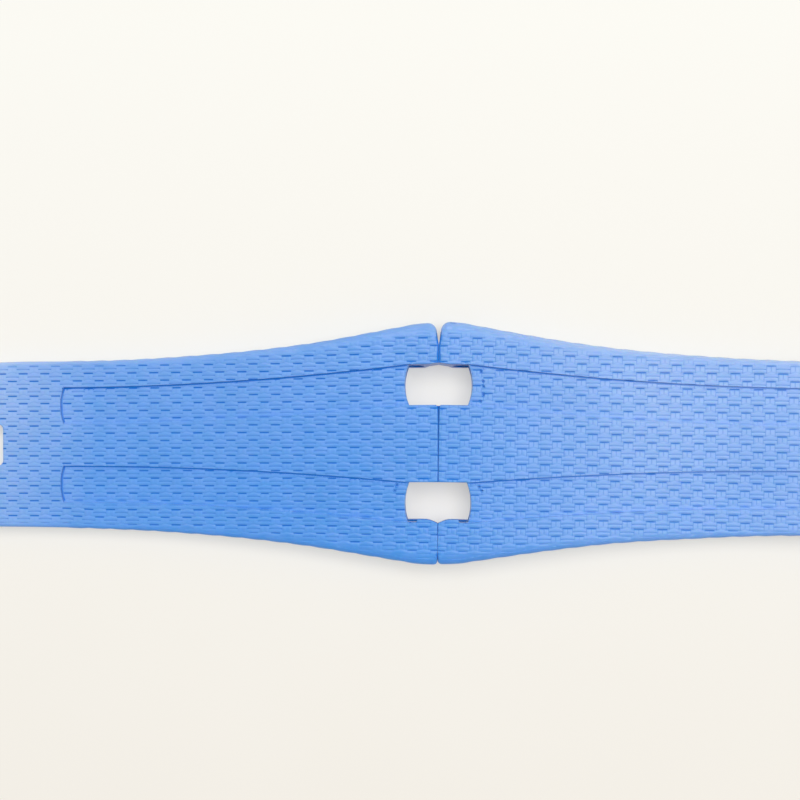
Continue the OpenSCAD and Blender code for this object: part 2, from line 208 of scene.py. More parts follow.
def flare_half(u):
    near = CASE_W / 2 - TIP_R + np.sqrt(np.maximum(TIP_R**2 - u**2, 0))
    hollow = STRAP_W / 2 + FLARE_R - np.sqrt(FLARE_R**2 - np.clip(FLARE_LEN - u, 0, FLARE_LEN) ** 2)
    return np.where(u < TIP_LEN, near, hollow)


NOTCH_SIDE_LEN = NOTCH_DEPTH - NOTCH_BULGE
CHANNEL_PLAIN_END = CHANNEL_LEN - CHANNEL_BULGE
CHANNEL_US = np.linspace(NOTCH_SIDE_LEN - 0.3 * MM, CHANNEL_PLAIN_END, 60)
END_PINCH = 0.96  # how far the channels' bulged ends close
FULL_FLARE = flare_half(NOTCH_SIDE_LEN) - STRAP_W / 2


def flare_share(u):
    return (flare_half(u) - STRAP_W / 2) / FULL_FLARE


def shoulder_w(u):
    return lerp(STRAP_SHOULDER_W, CASE_SHOULDER_W, np.clip(flare_share(u), 0, 1))


def shoulder_h(u):
    return lerp(STRAP_SHOULDER_H, CASE_SHOULDER_H, np.clip(flare_share(u), 0, 1))


class Half:
    """One moulded half of the strap: its outline, its underside and its outer face."""

    def __init__(self, node, length, end_t, lifted, weave, fuller, nicks):
        self.node, self.length, self.end_t, self.lifted = node, length, end_t, lifted
        self.weave_u, self.weave_v = weave
        self.fuller, self.nicks = np.array(fuller) * MM, np.array(nicks) * MM

    def plan_half(self, u, v=0):
        """Half width of the outline at u, on the side of v."""
        corner = np.where(v < 0, LOWER_CORNER_R, TIP_CORNER_R)
        depth = np.clip(corner - u - END_GROW, 0, corner)
        along, upper, lower = self.fuller
        fuller = np.where(v < 0, np.interp(u, along, lower), np.interp(u, along, upper))
        half = flare_half(u) - corner + np.sqrt(corner**2 - depth**2) + fuller
        if not self.lifted:
            tip = np.clip((u - LONG_LEN + TAIL_TIP_LEN) / TAIL_TIP_LEN, 0, 1)
            half = np.where(tip > 0, STRAP_W / 2 * (1 - tip**TAIL_POWER) ** (1 / TAIL_POWER), half)
        return half

    def low(self, u):
        """Height of the underside, without the nose."""
        return KEEPER_LIFT * ease((u - LIFT_START) / (LIFT_END - LIFT_START)) * self.lifted

    def top(self, u):
        """Height of the outer face before the weave is pressed into it."""
        near = lerp(CASE_T, STRAP_T, ease((u - NOTCH_DEPTH) / (FLARE_LEN - NOTCH_DEPTH)))
        far = lerp(STRAP_T, self.end_t, (u - FLARE_LEN) / (self.length - FLARE_LEN))
        top = self.low(u) + np.where(u < FLARE_LEN, near, far)
        if self.lifted:
            reach = np.clip(u - BAR_U, 0, NOSE_R)
            top = np.where(reach > 0, BAR_Z + np.sqrt(NOSE_R**2 - reach**2), top)
        return top

    def channel_floor(self, u):
        """Height of the channels' floor before the weave is pressed into it."""
        return self.top(u) - SKIN_DROP - CHANNEL_DEPTH

    def skin(self, u, v):
        """Outer face with its sloping shoulders, and how far down the shoulder each point is."""
        half = self.plan_half(u, v)
        slope_w = np.minimum(shoulder_w(u), 0.8 * half)
        down = (np.abs(v) - half + slope_w) / np.maximum(slope_w, 1e-9)
        curve = 1 - np.sqrt(np.clip(1 - np.clip(down, 0, 1) ** 2, 0, 1))
        return self.top(u) - shoulder_h(u) * curve, down

    def drift(self, u, v, face):
        """How far the weave's pattern lies off its even pitch, along and across."""
        near = 1 - smooth(40 * MM, 45 * MM, u)
        along = WEAVE_DRIFT * np.sin(2 * np.pi * (u - 19 * MM) / (36 * MM)) * near * self.lifted
        across = -WEAVE_STRETCH * v * (1 - smooth(4 * MM, 16 * MM, u))
        if face:
            share = 1 - 0.6 * smooth(10 * MM, 20 * MM, u) * self.lifted
            across = across + STRIP_SHIFT * share * near * smooth(-5.4 * MM, -6.0 * MM, v)
        return along, across

    def pattern(self, u, v, face=True):
        """Place in the weave, in pitches along and rows across."""
        along, across = self.drift(u, v, face)
        return (u - along - self.weave_u) / WEAVE_PITCH, (v + across - self.weave_v) / ROW_PITCH

    def on_pattern(self, u, v, face):
        """The points whose even place in the pattern is (u, v)."""
        real_u, real_v = u, v
        for _ in range(14):
            along, across = self.drift(real_u, real_v, face)
            real_u, real_v = u + along, v - across
        return real_u, real_v

    def weave(self, u, v, face=True):
        """Depth of the weave under the skin."""
        pitches, row = self.pattern(u, v, face)
        k = np.floor(row + ROW_GUARD)
        q = np.clip(row - k, 0, 1)
        shift = np.where(np.mod(k, 2) == 0, 0.0, 0.5)
        from_float = np.abs(np.mod(pitches - shift + 0.5, 1) - 0.5) * WEAVE_PITCH
        from_riser = WEAVE_PITCH / 2 - from_float
        upper = q > GROOVE_AT
        across = np.where(upper, (q - GROOVE_AT) / (1 - GROOVE_AT), 1 - q / GROOVE_AT)
        thread = np.abs(2 * across - 1) ** 4
        outer_edge = np.where(upper, UPPER_EDGE_DROP, EDGE_DROP)
        float_drop = thread * np.where(across < 0.5, GROOVE_DROP, outer_edge)
        float_drop += ARCH_DROP * np.minimum(from_float / FLOAT_HALF, 1) ** 4
        float_drop += 1.2 * np.maximum(from_float - FLOAT_HALF, 0)
        side = np.minimum(np.abs(from_riser / (RISER_HALF / 2) - 1), 1)
        riser_drop = RISER_DROP * side**4 + 0.01 * MM + FOOT_DROP * (1 - smooth(0, FOOT_LEN, q))
        riser_drop += 1.2 * np.maximum(from_riser - RISER_HALF, 0)
        tuck = UPPER_EDGE_DROP + EDGE_DROP * ((q * ROW_PITCH / TUCK) ** 2 + (from_riser / RISER_HALF) ** 2)
        riser_drop = np.minimum(riser_drop, np.where(from_riser < RISER_HALF, tuck, riser_drop))
        under = (from_float < RISER_HALF) * np.exp(-((q * ROW_PITCH / SLIT_W) ** 2))
        over = (from_riser < RISER_HALF) * np.exp(-(((1 - q) * ROW_PITCH / SLIT_W) ** 2))
        return np.minimum(float_drop, riser_drop) + SLIT_DROP * np.maximum(under, over)

    def surface(self, u, v):
        """Height of the woven outer face."""
        skin, down = self.skin(u, v)
        drop = self.weave(u, v) * (1 - 0.8 * smooth(0.0, 0.7, down))
        return skin - SKIN_DROP - drop + 0.4 * MM * smooth(0.62, 0.75, down)

    def matrix(self):
        """From the half's own frame to the row frame."""
        if self.lifted:
            turned = Matrix.Rotation(-LAY_ANGLE, 4, "Z") @ Matrix.Translation((MEET_GAP / 2, 0, 0))
            return Matrix.Translation((PIN_IN + MEET_GAP / 2, 0, -PIN_H)) @ turned
        return Matrix.Translation((PIN_IN, 0, -PIN_H)) @ Matrix.Diagonal((-1, 1, 1, 1))


LONG = Half("strap_long", LONG_LEN, TAIL_T, False, (0.22 * MM, 0.48 * MM), LONG_FULLER, LONG_NICKS)
SHORT = Half("strap_short", BAR_U + NOSE_R, STRAP_T, True, (0.22 * MM, 0.43 * MM), SHORT_FULLER, SHORT_NICKS)
BAR = SHORT.matrix() @ Matrix.Translation((BAR_U, 0, BAR_Z))


# Meshes

def outward(points, faces):
    """The points, and the faces of one closed part turned outwards."""
    points = np.asarray(points, float)
    volume = 0.0
    for f in faces:
        p = points[list(f)]
        volume += np.einsum("ij,j->", np.cross(p[1:-1], p[2:]), p[0])
    return points, ([tuple(reversed(f)) for f in faces] if volume < 0 else faces)


def linked(name, data):
    """Object of that data, in the scene."""
    obj = bpy.data.objects.new(name, data)
    bpy.context.scene.collection.objects.link(obj)
    return obj


def solid(name, points, faces):
    mesh = bpy.data.meshes.new(name)
    mesh.from_pydata([tuple(p) for p in points], [], faces)
    mesh.update()
    return linked(name, mesh)


def loft_parts(rings, closed=False):
    """Points and faces of a skin over rings of equal length, with caps unless it closes on itself."""
    rings = np.asarray(rings, float)
    m, n = rings.shape[:2]
    faces = []
    for k in range(m if closed else m - 1):
        a, b = k * n, (k + 1) % m * n
        for i in range(n):
            j = (i + 1) % n
            faces.append((a + i, a + j, b + j, b + i))
    if not closed:
        faces.append(tuple(reversed(range(n))))
        faces.append(tuple(range((m - 1) * n, m * n)))
    return outward(rings.reshape(-1, 3), faces)


def loft(name, rings, closed=False):
    return solid(name, *loft_parts(rings, closed))


def joined(name, parts):
    """One object of several separate closed parts, each (points, faces)."""
    points, faces, start = [], [], 0
    for p, f in parts:
        points.append(p)
        faces += [tuple(i + start for i in face) for face in f]
        start += len(p)
    return solid(name, np.concatenate(points), faces)


def height_block(u, v, height, flat):
    """Closed block between a height field over the grid of points (u, v) and the level flat."""
    top = np.stack([u, v, height(u, v)], -1).reshape(-1, 3)
    index = np.arange(u.size).reshape(u.shape)
    quads = np.stack([index[:-1, :-1], index[1:, :-1], index[1:, 1:], index[:-1, 1:]], -1).reshape(-1, 4)
    rim = np.concatenate([index[:, 0], index[-1, 1:], index[-2::-1, -1], index[0, -2:0:-1]])
    base = top[rim].copy()
    base[:, 2] = flat
    first = u.size
    ring = zip(rim.tolist(), np.roll(rim, -1).tolist())
    sides = [(b, a, first + i, first + (i + 1) % len(rim)) for i, (a, b) in enumerate(ring)]
    floor = tuple(reversed(range(first, first + len(rim))))
    faces = [*map(tuple, quads.tolist()), *sides, floor]
    return solid("sheet", *outward(np.concatenate([top, base]), faces))


def boolean(target, cutter, operation="DIFFERENCE"):
    """target becomes the result, and the cutter goes."""
    modifier = target.modifiers.new("cut", "BOOLEAN")
    modifier.object, modifier.operation, modifier.solver = cutter, operation, "MANIFOLD"
    apply_modifiers(target)
    old = cutter.data
    bpy.data.objects.remove(cutter)
    bpy.data.meshes.remove(old)
    if not len(target.data.polygons):
        raise RuntimeError(f"{target.name} is empty after a cut")


def apply_modifiers(obj):
    bpy.context.view_layer.update()
    result = bpy.data.meshes.new_from_object(obj.evaluated_get(bpy.context.evaluated_depsgraph_get()))
    obj.modifiers.clear()
    old = obj.data
    obj.data = result
    bpy.data.meshes.remove(old)


def prism(levels):
    """Points and faces of a stack of plan outlines, each (points n x 2, z)."""
    return loft_parts([np.column_stack([outline, np.full(len(outline), z)]) for outline, z in levels])


def arc(centre, radius, start, end, steps):
    a = np.radians(np.linspace(start, end, steps + 1))
    return np.column_stack([centre[0] + radius * np.cos(a), centre[1] + radius * np.sin(a)])


def round_rect(u0, u1, v0, v1, r, steps=5):
    corners = ((u1 - r, v1 - r), (u0 + r, v1 - r), (u0 + r, v0 + r), (u1 - r, v0 + r))
    return np.concatenate([arc(c, r, 90 * i, 90 * i + 90, steps) for i, c in enumerate(corners)])


def section(u, half, low, top, slope_w, slope_h, wider=0.0):
    """Cross-section of a half, as points in its own frame; its -v side can be wider."""
    edge = min(LOWER_EDGE_R, 0.4 * (top - low))
    slope_w, slope_h = min(slope_w, 0.8 * half), min(slope_h, 0.45 * (top - low))
    side = np.concatenate([
        arc((half - edge, low + edge), edge, -90, 0, 6),
        np.array([half - slope_w, top - slope_h])
        + arc((0, 0), 1, 0, 90, 10) * np.array([slope_w, slope_h]),
    ])
    ring = np.concatenate([side, side[::-1] * np.array([-1, 1]) - np.array([wider, 0])])
    return np.column_stack([np.full(len(ring), u), ring])


def shell(half):
    """The half before its weave and its openings."""
    def widths(u):
        return half.plan_half(u), half.plan_half(u, -1) - half.plan_half(u)

    def ring(u, inset=0.0):
        width, wider = widths(u)
        return section(u, width - inset, half.low(u) + inset, half.top(u) - inset,
                       shoulder_w(u), shoulder_h(u), wider)

    def plain_ring(u, low, top):
        return section(u, STRAP_W / 2, low, top, STRAP_SHOULDER_W, STRAP_SHOULDER_H)

    low, top = half.low(0) + EDGE_R, half.top(0) - EDGE_R
    width, wider = widths(-END_GROW)
    rings = []
    for s in (0.04, 0.9, 0.94, 0.96, 0.975, 0.985, 0.995):
        reach = s * (top - low) / 2
        rings.append(section(-END_GROW - NOSE_BULGE * (1 - s**60), width - EDGE_R, (low + top) / 2 - reach,
                             (low + top) / 2 + reach, CASE_SHOULDER_W, CASE_SHOULDER_H, wider))
    near = np.array([0, 0.03, 0.08, 0.15, 0.25, 0.4, 0.6, 0.85, 1.1]) * MM - END_GROW
    flare = [np.linspace(1.1 * MM, TIP_LEN, 8)[1:], np.linspace(TIP_LEN, FLARE_LEN, 46)[1:]]
    for u in np.concatenate([near, *flare]):
        depth = np.clip(EDGE_R - u - END_GROW, 0, EDGE_R)
        rings.append(ring(u, EDGE_R - math.sqrt(EDGE_R**2 - depth**2)))
    if half.lifted:
        for u in [*np.linspace(FLARE_LEN, LIFT_END, 8)[1:], BAR_U - 0.2 * MM]:
            rings.append(plain_ring(u, half.low(u), half.top(u)))
        for a in np.radians(np.arange(0, 88, 6)):
            t = NOSE_R * math.cos(a)
            rings.append(plain_ring(BAR_U + NOSE_R * math.sin(a), BAR_Z - t, BAR_Z + t))
    else:
        tip = np.sin(np.radians([*range(0, 80, 5), *np.arange(80, 89.5, 1.5)])) ** (2 / TAIL_POWER)
        tip = LONG_LEN - TAIL_TIP_LEN + TAIL_TIP_LEN * tip
        rings += [ring(u) for u in [*np.linspace(FLARE_LEN, half.fuller[0, -1], 8)[1:], *tip]]
    return loft(half.node + "_shell", rings)


def weave_lines(start, end, origin, pitch, offsets):
    first, last = math.floor((start - origin) / pitch), math.ceil((end - origin) / pitch)
    lines = [origin + (k + o) * pitch for k in range(first, last + 1) for o in offsets]
    return np.array([x for x in lines if start <= x <= end])


def weave_grid(half, start, end, side):
    """Mesh lines along from start to end and across from -side to side, which follow the threads."""
    ahead = [o * MM / WEAVE_PITCH for o in U_OFFSETS]
    offsets = ahead + [0.5] + [1 - o for o in ahead[:0:-1]]
    us = weave_lines(start, end, half.weave_u, WEAVE_PITCH, offsets)
    return np.meshgrid(us, weave_lines(-side, side, half.weave_v, ROW_PITCH, V_OFFSETS), indexing="ij")


def notch_outline(side, grow, lower=False):
    """Plan of one lug notch at the outer face or the underside, grown on all sides by grow."""
    inner, outer = NOTCH_V - NOTCH_W / 2 - grow, NOTCH_V + NOTCH_W / 2 + grow
    radius = (NOTCH_W**2 / 4 + NOTCH_BULGE**2) / (2 * NOTCH_BULGE) + grow
    if side > 0:
        wall = outer - NOTCH_DRAFT * lower
        start = [(-PAST, inner - 2 * INNER_MOUTH), (0, inner - 1.5 * INNER_MOUTH), (INNER_MOUTH, inner)]
        mouth = [(MOUTH_LEN, wall), (0.6 * MOUTH_LEN, outer + 0.2 * UPPER_MOUTH_DEPTH),
                 (0.3 * MOUTH_LEN, outer + 0.55 * UPPER_MOUTH_DEPTH),
                 (-PAST, outer + 1.9 * UPPER_MOUTH_DEPTH)]
    else:
        wall = outer - (LOWER_FILL if lower else UPPER_FILL)
        lip = wall - LIP * (not lower)
        start = [(-PAST, inner)]
        mouth = [(LIP_U, wall), (LIP_U - 0.12 * MM, lip), (0.9 * MOUTH_LEN, lip),
                 (0.6 * MOUTH_LEN, lip + 0.2 * MOUTH_DEPTH), (0.3 * MOUTH_LEN, lip + 0.6 * MOUTH_DEPTH),
                 (-PAST, lip + 2.2 * MOUTH_DEPTH)]
    low, high = (math.degrees(math.asin((v - NOTCH_V) / radius)) for v in (inner, wall))
    end = arc((NOTCH_DEPTH - NOTCH_FILL + grow - radius, NOTCH_V), radius, low, high, 14)
    if side < 0:
        end[:, 0] += NOTCH_LEAN * ((end[:, 1] - inner) / (wall - inner)) ** 2
    ring = np.concatenate([start, end, mouth])
    return ring if side > 0 else (ring * np.array([1, -1]))[::-1]


def opening(outline, low, top, bevel=CUT_BEVEL, lower=None):
    """Cutter through a half, bevelled where it opens. outline and lower are functions of its growth."""
    lower = lower or outline
    top -= SKIN_DROP
    return prism([(lower(bevel), low - PAST), (lower(bevel), low), (lower(0), low + bevel),
                  (outline(0), top - bevel), (outline(bevel), top), (outline(bevel), top + PAST)])


def nick(u, v, height, floor):
    levels = ((0.10 * MM, height / 2, floor), (0.14 * MM, height / 2 + 0.05 * MM, floor + PAST / 2))
    return prism([(round_rect(u - w, u + w, v - h, v + h, 0.8 * w, 2), z) for w, h, z in levels])


def channel_across(u, v):
    """Middle and half width of the channel on the side of v."""
    share = flare_share(u)
    return np.sign(v) * lerp(CHANNEL_V, NOTCH_V, share), lerp(CHANNEL_W / 2, NOTCH_W / 2, share)


def channel_parts(half, side):
    """The recessed channel behind one notch, open at its top."""
    def ring(u, pinch=1.0):
        mid, reach = channel_across(u, side)
        top, lip = half.top(u) - SKIN_DROP, 0.05 * MM
        wall = [(reach * pinch, -2 * CHANNEL_DEPTH), (reach * pinch, -lip),
                (reach * pinch + lip, 0.02 * MM), (reach * pinch + lip, PAST)]
        return [(u, mid + side * v, top + z) for v, z in wall + [(-v, z) for v, z in wall[::-1]]]

    rings = [ring(u) for u in CHANNEL_US]
    rings += [ring(CHANNEL_PLAIN_END + CHANNEL_BULGE * f, math.sqrt(1 - END_PINCH * f))
              for f in np.linspace(0, 1, 9)[1:]]
    return loft_parts(rings)


def crease_parts(half, side):
    """Fine groove at the foot of a channel's wall that faces -v, and of its end wall."""
    line = [(u, sum(channel_across(u, side))) for u in CHANNEL_US]
    mid, reach = channel_across(CHANNEL_PLAIN_END, side)
    for f in (0.12, 0.25, 0.4, 0.55, 0.7, 0.85, 0.95, 1.0):
        line.append((CHANNEL_PLAIN_END + CHANNEL_BULGE * f, mid + reach * math.sqrt(1 - END_PINCH * f)))
    line += [(u, 2 * mid - v) for u, v in line[:-9:-1]][1:]
    line = np.array(line)
    tangent = np.gradient(line, axis=0)
    tangent /= np.linalg.norm(tangent, axis=1)[:, None]
    inward = np.column_stack([tangent[:, 1], -tangent[:, 0]])
    rings = []
    for p, n in zip(line, inward):
        brim = half.top(p[0]) - SKIN_DROP - 0.04 * MM
        floor = brim + 0.04 * MM - CHANNEL_DEPTH - CREASE_DEPTH
        a, b, c = p - 0.02 * MM * n, p + CREASE_W * n, p + CREASE_W * 0.8 * n
        rings.append([(*a, floor), (*a, brim), (*b, brim), (*c, floor)])
    return loft_parts(rings)


def beside_channel_wall(u, v):
    """Whether each point lies over a channel's crease."""
    mid, reach = channel_across(u, v)
    wide = CREASE_W + 0.02 * MM
    from_wall = mid + reach - v
    along = (from_wall > -wide / 4) & (from_wall < wide)
    over = (v - mid) / reach
    from_end = CHANNEL_PLAIN_END + CHANNEL_BULGE * (1 - over**2) / END_PINCH - u
    across = (np.abs(over) < 1) & (from_end > -wide) & (from_end < 1.5 * wide)
    return (along | across) & (u > NOTCH_SIDE_LEN) & (u < CHANNEL_LEN + wide)


def turned(profile, steps=64, u=0.0, z=0.0, closed=False):
    """Points and faces of a solid turned about the v axis, from a profile of (radius, v)."""
    a = np.linspace(0, 2 * math.pi, steps + 1)[:-1]
    return loft_parts([np.column_stack([u + r * np.cos(a), np.full(steps, v), z + r * np.sin(a)])
                       for r, v in profile], closed)


def cylinder(radius, reach, *settings):
    return turned([(radius, -reach), (radius, reach)], *settings)


def cut(obj, *parts):
    """Takes separate closed parts out of obj."""
    boolean(obj, joined("cutter", parts))


def strap(half):
    """A half of the strap with its weave, notches, channels, slots and bores."""
    obj = shell(half)
    grid = weave_grid(half, -WEAVE_PAST, half.length + WEAVE_PAST, WEAVE_SIDE)
    weave = height_block(*half.on_pattern(*grid, True), half.surface, -PAST)
    boolean(obj, weave, "INTERSECT")
    grid = weave_grid(half, 1.5 * MM, CHANNEL_LEN + 2 * MM, FLOORS_SIDE)
    floors = height_block(*half.on_pattern(*grid, False),
                          lambda u, v: half.channel_floor(u) - half.weave(u, v, False),
                          half.top(0) + 3 * PAST)
    boolean(floors, joined("channels", [channel_parts(half, s) for s in (1, -1)]), "INTERSECT")
    boolean(obj, floors)
    cut(obj, *(crease_parts(half, s) for s in (1, -1)))
    cut(obj, *(opening(lambda g, s=s: notch_outline(s, g), 0, CASE_T,
                       lower=lambda g, s=s: notch_outline(s, g, True)) for s in (1, -1)))
    cut(obj, *(nick(u, v, height, half.channel_floor(u) - NICK_DEPTH) for u, v, height in half.nicks))
    cut(obj, cylinder(SLEEVE_R + 0.01 * MM, CASE_W, 64, PIN_IN, PIN_H))
    if half.lifted:
        side, back = TANG_W / 2 + TANG_SIDE_GAP, BAR_U - TANG_SLOT_BACK
        cut(obj, opening(lambda g: round_rect(back - g, BAR_U + 3 * NOSE_R, -side - g, side + g, 0.5 * MM),
                         half.low(BAR_U), half.top(BAR_U)))
        cut(obj, cylinder(BARREL_R + FIT_GAP, STRAP_W, 64, BAR_U, BAR_Z))
    else:
        def slot(u, g):
            return round_rect(u - g, u + SLOT_LEN + g, -SLOT_W / 2 - g, SLOT_W / 2 + g, SLOT_R + g)

        cut(obj, *(opening(lambda g, u=u: slot(u, g), 0, half.top(u))
                   for u in FIRST_SLOT_U + SLOT_PITCH * np.arange(SLOT_COUNT)))
    mesh = obj.data
    mesh.validate()
    co = np.empty(len(mesh.vertices) * 3)
    mesh.vertices.foreach_get("co", co)
    co = co.reshape(-1, 3)
    for name, value in shade_values(half, *co.T).items():
        mesh.attributes.new(name, "FLOAT", "POINT").data.foreach_set("value", value.astype(np.float32))
    settle(half, co)
    mesh.vertices.foreach_set("co", co.ravel())
    return obj


def shade_values(half, u, v, z):
    """What the rubber's material reads at each point: its place in the weave, and what darkens it."""
    _, down = half.skin(u, v)
    face, floor = half.surface(u, v), half.channel_floor(u)
    on_face = 1 - smooth(0.1 * MM, 0.2 * MM, np.abs(z - face))
    on_floor = 1 - smooth(0.01 * MM, 0.03 * MM, np.abs(z - floor + half.weave(u, v, False)))
    woven = np.maximum(on_face * (1 - smooth(-0.1, 0.4, down)), on_floor)
    # The weave's painted shade fades beside the channels' -v walls
    mid, reach = channel_across(u, v)
    near_wall = 1 - smooth(0.2 * MM, 0.5 * MM, np.abs(v - mid + reach))
    woven *= 1 - WALL_WEAVE_FADE * near_wall * (u >= NOTCH_SIDE_LEN) * (u <= CHANNEL_LEN)
    # Painted shade in the creases, the nicks, the notches' walls and the case ends' faces at the joint
    crease = (np.abs(z - floor + CREASE_DEPTH) < 0.01 * MM) & beside_channel_wall(u, v)
    crease_shade = 1 - FAR_CREASE_FADE * smooth(8 * MM, 36 * MM, u) * half.lifted
    painted_shade = np.where(crease, np.where(u > CHANNEL_PLAIN_END, END_CREASE_SHADE, crease_shade), 0.0)
    for nick_u, nick_v, height in half.nicks:
        at_nick = (np.abs(u - nick_u) < 0.18 * MM) & (np.abs(v - nick_v) < height / 2 + 0.1 * MM)
        painted_shade = np.where(at_nick, 1.0, painted_shade)
    in_notch = (z < half.top(u) - CUT_BEVEL) & (u < 3.2 * MM)
    in_notch &= np.abs(np.abs(v) - NOTCH_V) < NOTCH_W / 2 + 0.5 * MM
    painted_shade = np.where(in_notch, WALL_SHADE, painted_shade)
    painted_shade = np.where((z < face - 0.02 * MM) & (u < -0.3 * END_GROW), END_SHADE, painted_shade)
    on_shoulder = smooth(1.6 * MM, 0.8 * MM, half.top(u) - z)
    pitches, row = np.where(on_floor > 0.5, half.pattern(u, v, False), half.pattern(u, v))
    # Painted highlight on the +v shoulder and painted shade on the -v shoulder
    rim = smooth(0.1, 0.9, down) * on_shoulder * np.clip(v / RIM_BLEND, -1, 1)
    return {"weave_along": pitches, "weave_row": row, "woven": woven, "crevice_shade": painted_shade, "rim": rim}


def settle(half, co):
    """Ripples the outline as the weave does, and swells the case end until the halves all but touch."""
    u, v, z = co.T
    ripple = EDGE_RIPPLE * np.cos(2 * np.pi * half.pattern(u, v)[0])
    near_edge = smooth(0.12 * MM, 0.0, half.plan_half(u, v) - np.abs(v))
    near_edge *= smooth(0.2 * MM, 0.8 * MM, z - half.low(u))
    v += np.sign(v) * (ripple - EDGE_RIPPLE) * near_edge * (u > 3 * MM)
    middle = END_BULGE * np.clip(1 - (np.abs(v) / (5 * MM)) ** 4, 0, 1)
    gap = MEET_GAP - 2 * END_GROW + v * math.tan(LAY_ANGLE) - 2 * middle
    share = np.clip((gap - TOUCH_GAP) / (2 * NOSE_BULGE), 0.005, 1)
    share *= 1 - 0.8 * smooth(11.4 * MM, 12.6 * MM, v)
    u[:] = np.where(u < -END_GROW, -END_GROW + (u + END_GROW) * share, u)
    held_back = np.maximum(2 * TOUCH_GAP - gap, 0) / 2
    u += (held_back - middle) * np.clip(1 - (u + END_GROW) / (1.5 * MM), 0, 1)


def smooth_edges(obj, degrees):
    """Smooth shading with edges over that angle kept sharp, and flat faces kept flat."""
    mesh = obj.data
    mesh.shade_smooth()
    mesh.set_sharp_from_angle(angle=math.radians(degrees))
    weighted = obj.modifiers.new("normals", "WEIGHTED_NORMAL")
    weighted.keep_sharp = True
    apply_modifiers(obj)


# Materials

class Nodes:
    """Short calls for the nodes of a world or a material."""

    def __init__(self, owner):
        owner.use_nodes = True
        self.owner, self.tree = owner, owner.node_tree

    def add(self, kind, inputs=(), **settings):
        """A node with these settings, and with values or links on its inputs, in order or by name."""
        node = self.tree.nodes.new(kind)
        for key, value in settings.items():
            setattr(node, key, value)
        self.feed(node, inputs)
        return node

    def feed(self, node, inputs):
        for key, value in inputs.items() if isinstance(inputs, dict) else enumerate(inputs):
            if hasattr(value, "is_output"):
                self.tree.links.new(value, node.inputs[key])
            else:
                node.inputs[key].default_value = value

    def math(self, operation, first, *rest):
        """The first value, taken through that operation with each of the others."""
        for value in rest:
            first = self.add("ShaderNodeMath", (first, value), operation=operation).outputs[0]
        return first

    def product(self, *values):
        return self.math("MULTIPLY", *values)

    def seen_rays(self):
        """1 for the rays that show the studio's paper: the camera's, and those mirrored or passed on."""
        rays = self.add("ShaderNodeLightPath").outputs
        kinds = ("Is Camera Ray", "Is Glossy Ray", "Is Transmission Ray")
        return self.math("MAXIMUM", *(rays[kind] for kind in kinds))

    def show_paper(self, share, lit, paper, output):
        """The surface is lit, with that share of the paper's own tone."""
        blend = self.add("ShaderNodeMixShader", (share, lit.outputs[0], paper.outputs[0]))
        self.feed(self.tree.nodes[output], {"Surface": blend.outputs[0]})


class Material(Nodes):
    """Short calls for a material's nodes, which start from the place on the object."""

    def __init__(self, name):
        super().__init__(bpy.data.materials.new(name))
        self.shader = self.tree.nodes["Principled BSDF"]
        self.place = self.add("ShaderNodeTexCoord").outputs["Object"]
        self.axes = self.add("ShaderNodeSeparateXYZ", [self.place]).outputs

    def scaled(self, scale):
        return self.add("ShaderNodeMapping", {"Vector": self.place, "Scale": scale}).outputs["Vector"]

    def noise(self, scale, detail=3.0, rough=0.5, where=None):
        inputs = {"Vector": where or self.place, "Scale": scale, "Detail": detail, "Roughness": rough}
        return self.add("ShaderNodeTexNoise", inputs).outputs["Fac"]

    def ramp(self, value, low, high, to_low=0.0, to_high=1.0, **settings):
        inputs = (value, low, high, to_low, to_high)
        return self.add("ShaderNodeMapRange", inputs, **settings).outputs["Result"]

    def mottle(self, scale, detail, to_low=0.0, to_high=1.0, rough=0.5):
        """Noise brought out to between those two values."""
        return self.ramp(self.noise(scale, detail, rough), 0.3, 0.7, to_low, to_high)

    def band(self, value, half, soft):
        """1 where value is within half of zero, falling to 0 over soft."""
        return self.ramp(self.math("ABSOLUTE", value, 0), half, half + soft, 1.0, 0.0,
                         interpolation_type="SMOOTHSTEP")

    def mix(self, factor, a, b):
        inputs = {"Factor": factor, "A": a, "B": b}
        return self.add("ShaderNodeMix", inputs, data_type="RGBA").outputs["Result"]

    def attribute(self, name):
        return self.add("ShaderNodeAttribute", attribute_name=name).outputs["Fac"]

    def bump(self, height, distance, strength=1.0, after=None):
        inputs = {"Strength": strength, "Distance": distance, "Height": height}
        if after:
            inputs["Normal"] = after
        return self.add("ShaderNodeBump", inputs).outputs["Normal"]

    def surface(self, inputs):
        """The material, with these values or links on its shader's own sockets."""
        self.feed(self.shader, inputs)
        return self.owner


def srgb(r, g, b):
    """Linear colour of an sRGB colour given from 0 to 255."""
    shares = (r / 255, g / 255, b / 255)
    return *(c / 12.92 if c <= 0.04045 else ((c + 0.055) / 1.055) ** 2.4 for c in shares), 1.0


def toned(colour, factor):
    return *(c * factor for c in colour[:3]), 1.0


